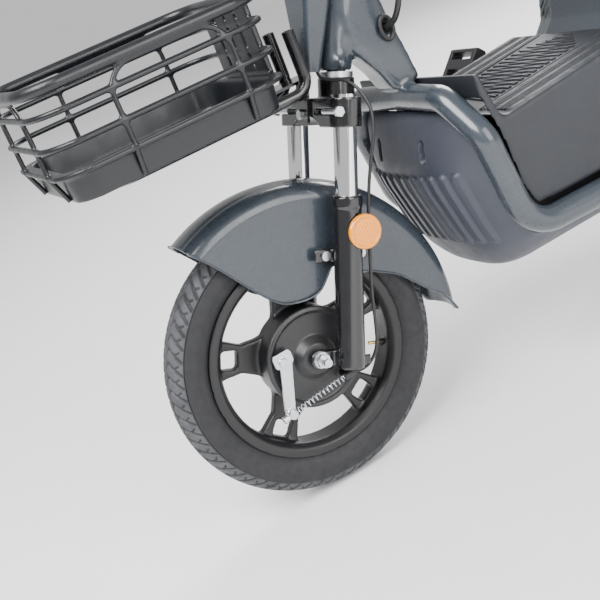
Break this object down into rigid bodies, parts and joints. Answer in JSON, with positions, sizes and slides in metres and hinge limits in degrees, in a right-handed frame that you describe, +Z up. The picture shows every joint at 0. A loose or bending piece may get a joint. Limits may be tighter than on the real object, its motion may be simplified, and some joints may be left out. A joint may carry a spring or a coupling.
{
  "type": "moped scooter",
  "caption": "Step-through electric moped with telescopic fork, front wire basket, cast spoked wheels, drum brakes, footboard, long seat, rear rack, centre stand and pedals.",
  "frame": {"origin": "on the ground under the middle of the bounding box", "axes": "+X forward along the direction of travel, +Y to the rider's left, +Z up"},
  "size_m": [1.68, 0.7028, 1.2566],
  "materials": {
    "slate_paint": "gloss",
    "slate_plastic": "gloss",
    "black_coat": "satin",
    "black_cast": "satin",
    "black_plastic": "matt",
    "grey_plastic": "matt",
    "steel": "zinc plated",
    "alloy": "satin",
    "chrome": "polished",
    "amber": "gloss",
    "clear_lens": "clear",
    "tyre": "matt",
    "rubber": "matt",
    "cable": "satin",
    "vinyl": "satin",
    "red_button": "gloss"
  },
  "bodies": {
    "frame": {"main_beam": "slate_paint", "chassis": "black_coat", "frame_bearings_and_pins": "steel", "body_hoop": "slate_paint", "nose_shell": "grey_plastic", "footboard": "grey_plastic", "battery_pack": "black_plastic", "controller": "alloy", "rear_body": "slate_plastic", "rear_rack": "black_coat", "backrest_pad": "vinyl", "rear_fender": "black_plastic", "tail_lamp": "black_plastic", "shock_tops": "black_coat", "shock_springs": "black_coat"},
    "steering": {"fork_crown": "black_coat", "fork_tubes": "chrome", "steering_bolts": "steel", "handlebar_stem": "black_coat", "handlebar": "black_coat", "grip_left": "rubber", "switch_pods": "black_plastic", "dash_housing": "black_plastic", "headlamp_shell": "black_plastic", "headlamp_lens": "clear_lens", "front_cover": "slate_plastic", "basket": "black_plastic", "basket_carrier": "black_coat", "front_brake_cable": "cable", "main_loom": "cable"},
    "fork_lower": {"fork_legs": "black_coat", "front_axle": "steel", "front_brake_plate": "black_cast", "front_brake_shoes": "alloy", "front_brake_spring": "steel", "front_fender": "slate_plastic", "fender_bolts": "steel", "front_reflectors": "amber"},
    "front_wheel": {"front_tyre": "tyre", "front_wheel_casting": "black_cast"},
    "front_arm": {"front_brake_arm": "steel"},
    "swing": {"swingarm": "black_coat", "rear_axle": "steel", "rear_brake_plate": "black_cast"},
    "rear_wheel": {"rear_tyre": "tyre", "rear_hub_motor_wheel": "black_cast"},
    "rear_arm": {"rear_brake_arm": "steel"},
    "shock_lower": {"shock_rods": "chrome"},
    "lever_left": {"brake_lever_left": "alloy"},
    "lever_right": {"brake_lever_right": "alloy"},
    "throttle": {"throttle_grip": "rubber"},
    "horn": {"horn_button": "red_button"},
    "left_mirror": {"mirror_left": "black_plastic"},
    "right_mirror": {"mirror_right": "black_plastic"},
    "seat": {"seat_base": "black_plastic", "seat_cushion": "vinyl"},
    "stand": {"centre_stand": "black_coat"},
    "cranks": {"crankset": "black_coat"},
    "left_pedal": {"pedal_left": "black_plastic"},
    "right_pedal": {"pedal_right": "black_plastic"}
  },
  "joints": [
    {"name": "steering_turn", "type": "hinge", "parent": "frame", "child": "steering", "pos_m": [0.37887, 0, 0.56238], "axis": [-0.3649, 0, 0.9311], "range_deg": [-40, 40], "deforming": ["main_loom"]},
    {"name": "fork_slide", "type": "slide", "parent": "steering", "child": "fork_lower", "axis": [-0.3649, 0, 0.9311], "range_m": [0, 0.04], "stiffness_N_per_m": 8000, "springref_m": -0.04, "deforming": ["front_brake_cable"]},
    {"name": "front_wheel_spin", "type": "hinge", "parent": "fork_lower", "child": "front_wheel", "pos_m": [0.59, 0, 0.2155], "axis": [0, 1, 0], "continuous": true},
    {"name": "front_brake_turn", "type": "hinge", "parent": "fork_lower", "child": "front_arm", "pos_m": [0.642, 0, 0.2375], "axis": [0, 1, 0], "range_deg": [0, 14], "deforming": ["front_brake_spring"]},
    {"name": "lever_left_pull", "type": "hinge", "parent": "steering", "child": "lever_left", "pos_m": [0.2119, 0.2014, 1.0356], "axis": [0, 0, 1], "range_deg": [0, 14], "stiffness_Nm_per_rad": 2, "springref_deg": -8.59},
    {"name": "lever_right_pull", "type": "hinge", "parent": "steering", "child": "lever_right", "pos_m": [0.2119, -0.2014, 1.0356], "axis": [0, 0, -1], "range_deg": [0, 14], "stiffness_Nm_per_rad": 2, "springref_deg": -8.59},
    {"name": "throttle_twist", "type": "hinge", "parent": "steering", "child": "throttle", "pos_m": [0.1412, -0.338, 1.0356], "axis": [-0.2522, -0.9677, 0], "range_deg": [0, 70], "stiffness_Nm_per_rad": 0.3, "springref_deg": -17.19},
    {"name": "horn_press", "type": "slide", "parent": "steering", "child": "horn", "axis": [0.9677, 0.2522, 0], "range_m": [0, 0.002], "stiffness_N_per_m": 600, "springref_m": -0.002},
    {"name": "mirror_left_turn", "type": "hinge", "parent": "steering", "child": "left_mirror", "pos_m": [0.178, 0.1967, 1.0606], "axis": [0, 0, 1], "range_deg": [-30, 30]},
    {"name": "mirror_right_turn", "type": "hinge", "parent": "steering", "child": "right_mirror", "pos_m": [0.178, -0.1967, 1.0606], "axis": [0, 0, 1], "range_deg": [-30, 30]},
    {"name": "seat_lift", "type": "hinge", "parent": "frame", "child": "seat", "pos_m": [-0.139, 0, 0.6795], "axis": [0, 1, 0], "range_deg": [0, 70]},
    {"name": "swingarm_pivot", "type": "hinge", "parent": "frame", "child": "swing", "pos_m": [-0.155, 0, 0.2605], "axis": [0, 1, 0], "range_deg": [0, 5.5], "stiffness_Nm_per_rad": 2500, "springref_deg": -9.17, "deforming": ["shock_springs"]},
    {"name": "rear_wheel_spin", "type": "hinge", "parent": "swing", "child": "rear_wheel", "pos_m": [-0.59, 0, 0.2155], "axis": [0, 1, 0], "continuous": true},
    {"name": "rear_brake_turn", "type": "hinge", "parent": "swing", "child": "rear_arm", "pos_m": [-0.57, 0, 0.1695], "axis": [0, 1, 0], "range_deg": [0, 14]},
    {"name": "shock_follow", "type": "hinge", "parent": "swing", "child": "shock_lower", "pos_m": [-0.51, 0, 0.2415], "axis": [0, 1, 0], "range_deg": [-5.5, 0]},
    {"name": "stand_fold", "type": "hinge", "parent": "frame", "child": "stand", "pos_m": [-0.13, 0, 0.1915], "axis": [0, 1, 0], "range_deg": [0, 78]},
    {"name": "crank_turn", "type": "hinge", "parent": "frame", "child": "cranks", "pos_m": [-0.078, 0, 0.33], "axis": [0, 1, 0], "continuous": true},
    {"name": "pedal_left_spin", "type": "hinge", "parent": "cranks", "child": "left_pedal", "pos_m": [-0.1667, 0.25, 0.22429], "axis": [0, 1, 0], "continuous": true},
    {"name": "pedal_right_spin", "type": "hinge", "parent": "cranks", "child": "right_pedal", "pos_m": [0.0107, -0.25, 0.43571], "axis": [0, 1, 0], "continuous": true}
  ],
  "couplings": [
    {"joint": "front_brake_turn", "follows": "lever_right_pull", "ratio": 1},
    {"joint": "rear_brake_turn", "follows": "lever_left_pull", "ratio": 1},
    {"joint": "shock_follow", "follows": "swingarm_pivot", "ratio": -1}
  ]
}
